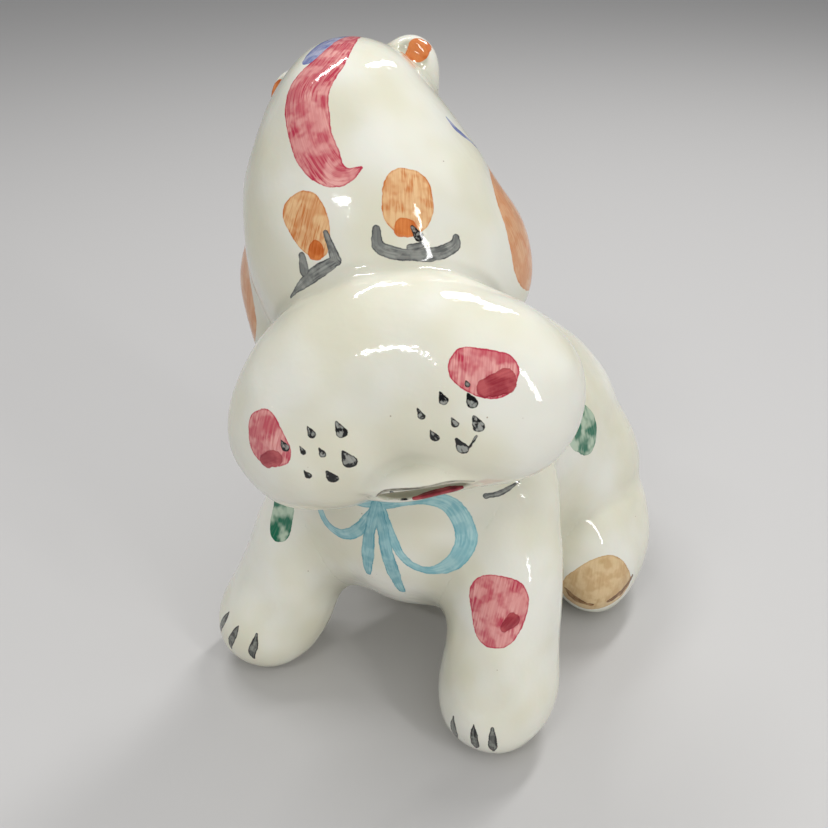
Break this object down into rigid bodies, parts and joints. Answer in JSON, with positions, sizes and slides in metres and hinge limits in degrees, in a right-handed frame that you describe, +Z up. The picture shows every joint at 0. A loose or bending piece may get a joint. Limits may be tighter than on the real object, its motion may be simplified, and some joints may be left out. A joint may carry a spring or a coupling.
{
  "type": "figural animal coin bank",
  "caption": "Hollow glazed ceramic coin bank shaped as a seated hippo-like animal with its head thrown back, a coin slot in its back and a rubber stopper in its base.",
  "frame": {"origin": "on the table plane, under the middle of the figure's bounding box", "axes": "+Z up, the animal faces -Y, +X is the animal's own left side"},
  "size_m": [0.122, 0.1801, 0.1911],
  "materials": {
    "painted_glaze": "clear gloss glaze over warm white slip-cast clay, hand painted under the glaze with rose, tan, green, blue and grey",
    "stopper_rubber": "soft matt off-white rubber"
  },
  "bodies": {
    "figure": {"torso_shell": "painted_glaze", "head_shell": "painted_glaze", "lower_jaw": "painted_glaze", "left_ear": "painted_glaze", "right_ear": "painted_glaze", "left_foreleg": "painted_glaze", "right_foreleg": "painted_glaze", "left_hind_leg": "painted_glaze", "right_hind_leg": "painted_glaze", "tail": "painted_glaze"},
    "plug": {"stopper": "stopper_rubber"}
  },
  "joints": [
    {"name": "stopper_pull", "type": "slide", "parent": "figure", "child": "plug", "axis": [0, 0, -1], "range_m": [0, 0.025]}
  ]
}
